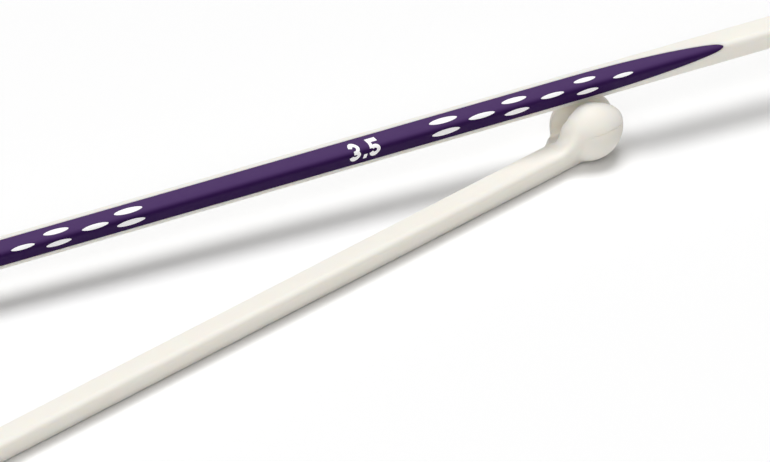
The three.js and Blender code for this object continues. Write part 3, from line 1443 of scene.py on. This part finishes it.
class NeedleMaker:
    """Models the solids of a needle once and lays a copy of each where either needle lies."""

    def __init__(self) -> None:
        """Work out the sub-assemblies' sizes from each other."""
        section = Section()
        ball = SplitBall(section)
        skin = EdgeSkin(section)
        length = IvoryMoulding.length
        middle = ball.radius - length / 2
        self.overlay = GripOverlay(skin, middle)
        self.lenses = LensMarks(skin, middle)
        self.number = SizeNumber(skin, middle)
        self.ivory = IvoryMoulding(section, ball, self.overlay)
        point_x = ball.radius - length
        self.places = {needle: RestingPlace(needle, point_x).matrix() for needle in Needle}

    @property
    def photographed_ball(self) -> Vector:
        """The centre of the lower needle's ball, in the pair's place."""
        return self.places[Needle.LOWER] @ self.ivory.ball.centre

    def make(self) -> None:
        """Build, place and dress every piece of both needles."""
        ivory, violet, white = IVORY.material(), VIOLET.material(), WHITE.material()
        moulding = self.ivory.build()
        strip = self.overlay.build(self.lenses.windows(self.overlay.seam))
        pieces = [
            Piece("ivory_moulding", moulding, ivory, Slot.IVORY, ("shaft", "split_ball")),
            Piece("violet_overlay", strip, violet, Slot.VIOLET, ("grip_overlay",)),
            Piece("white_lenses", self.lenses.build(), white),
            Piece("size_number", self.number.build(), white),
        ]
        for piece in pieces:
            for needle in Needle:
                self._lay(piece, needle)
            piece.shape.free()

    def _lay(self, piece: Piece, needle: Needle) -> None:
        """Lay a copy of a piece where a needle lies, dress it and say what it is.

        Args:
            piece: The piece.
            needle: The needle that it is for.
        """
        copy = piece.shape.copy()
        bmesh.ops.transform(copy, matrix=self.places[needle], verts=copy.verts[:])
        laid = Bench.put_out(copy, f"{needle.value}_{piece.name}")
        laid.data.materials.append(piece.material)
        laid.data.shade_smooth()
        laid.data.set_sharp_from_angle(angle=SHARP_EDGE)
        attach(laid, f"{needle.value}_needle")
        for node in piece.nodes:
            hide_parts(f"{needle.value}_{node}")
        log.info("%s: %d faces", laid.name, len(laid.data.polygons))


@dataclass
class PhotographCamera:
    """The camera of the photograph, which looks at the lower needle's ball from the front left."""

    azimuth: float = math.radians(-45.85)
    elevation: float = math.radians(30)
    distance: float = 2.0
    pixels_per_millimetre: float = 9.0
    image_width: float = 770.0
    image_height: float = 462.0
    ball_column: float = 586.4
    ball_row: float = 124.2
    sensor: float = 36.0
    nearest: float = 0.05
    furthest: float = 100.0

    def build(self, ball: Vector) -> None:
        """Make the camera.

        Args:
            ball: The ball's centre, which the photograph shows at the ball's column and row.
        """
        flat = Vector((math.sin(self.azimuth), -math.cos(self.azimuth), 0.0))
        back = flat * math.cos(self.elevation) + Vector((0, 0, math.sin(self.elevation)))
        right = Vector((math.cos(self.azimuth), math.sin(self.azimuth), 0.0))
        up = back.cross(right)
        pixel = MILLIMETRE / self.pixels_per_millimetre
        target = ball - right * (self.ball_column - self.image_width / 2) * pixel
        target -= up * (self.image_height / 2 - self.ball_row) * pixel
        data = bpy.data.cameras.new("photograph_camera")
        data.sensor_width = self.sensor
        data.lens = self.sensor * self.distance / (self.image_width * pixel)
        data.clip_start, data.clip_end = self.nearest, self.furthest
        camera = bpy.data.objects.new("photograph_camera", data)
        camera.matrix_world = Matrix.Translation(target + back * self.distance) @ Matrix(
            (right, up, back)
        ).transposed().to_4x4()
        bpy.context.scene.collection.objects.link(camera)
        bpy.context.scene.camera = camera


@dataclass(frozen=True)
class SoftLamp:
    """A soft square lamp.

    Its place is an angle round the needles, as the camera's, an angle over the floor, both in
    degrees, and a distance. Sizes are in metres, and the power is in watts.
    """

    name: str
    azimuth: float
    elevation: float
    distance: float
    size: float
    power: float

    def hang(self, middle: Vector) -> None:
        """Hang the lamp so that it faces a point.

        Args:
            middle: The point.
        """
        azimuth, elevation = math.radians(self.azimuth), math.radians(self.elevation)
        flat = Vector((math.sin(azimuth), -math.cos(azimuth), 0.0))
        way = flat * math.cos(elevation) + Vector((0.0, 0.0, math.sin(elevation)))
        data = bpy.data.lights.new(self.name, "AREA")
        data.shape = "SQUARE"
        data.size = self.size
        data.energy = self.power
        lamp = bpy.data.objects.new(self.name, data)
        lamp.location = middle + way * self.distance
        lamp.rotation_euler = way.to_track_quat("Z", "Y").to_euler()
        bpy.context.scene.collection.objects.link(lamp)


@dataclass
class Studio:
    """White floor, pale surroundings, a large soft lamp overhead and a second one in front."""

    lamps: tuple[SoftLamp, ...] = (
        SoftLamp("overhead_softbox", 134.0, 88.0, 2.2, 1.2, 38.5),
        SoftLamp("front_softbox", -55.0, 37.0, 2.2, 1.4, 14.0),
    )
    floor_half: float = 12.0
    floor_shown: Colour = (1.0, 1.0, 1.0)
    floor_bounce: Colour = (0.88, 0.88, 0.88)
    surroundings: float = 0.1
    middle: tuple[float, float, float] = (0.075, 0.0, 0.0)

    def build(self) -> None:
        """Make the floor, the world and the lamps."""
        self._floor()
        self._world()
        for lamp in self.lamps:
            lamp.hang(Vector(self.middle))

    def _floor(self) -> None:
        """Lay the floor, which is white to the camera and a little darker to other rays."""
        plane = bmesh.new()
        bmesh.ops.create_grid(plane, x_segments=1, y_segments=1, size=self.floor_half)
        floor = Bench.put_out(plane, "floor")
        board = NodeBoard.for_material("studio_floor")
        tone = board.mix(self.floor_bounce, self.floor_shown, board.seen())
        shader = board.node("ShaderNodeBsdfDiffuse", {"Color": tone})
        board.join(shader.outputs["BSDF"], board.surface)
        floor.data.materials.append(board.owner)

    def _world(self) -> None:
        """Surround the scene with an even light that looks white to the camera."""
        world = bpy.data.worlds.new("studio")
        board = NodeBoard(world, "ShaderNodeOutputWorld")
        values = {"Value": board.seen(), "To Min": self.surroundings, "To Max": 1.0}
        strength = board.node("ShaderNodeMapRange", values).outputs["Result"]
        shader = board.node("ShaderNodeBackground", {"Color": WHITE_LIGHT, "Strength": strength})
        board.join(shader.outputs["Background"], board.surface)
        bpy.context.scene.world = world


def main() -> None:
    """Build the camera, the two needles and the studio."""
    logging.basicConfig(level=logging.INFO)
    bpy.context.scene.view_settings.view_transform = "Standard"
    maker = NeedleMaker()
    PhotographCamera().build(maker.photographed_ball)
    maker.make()
    Studio().build()


if __name__ == "__main__":
    main()
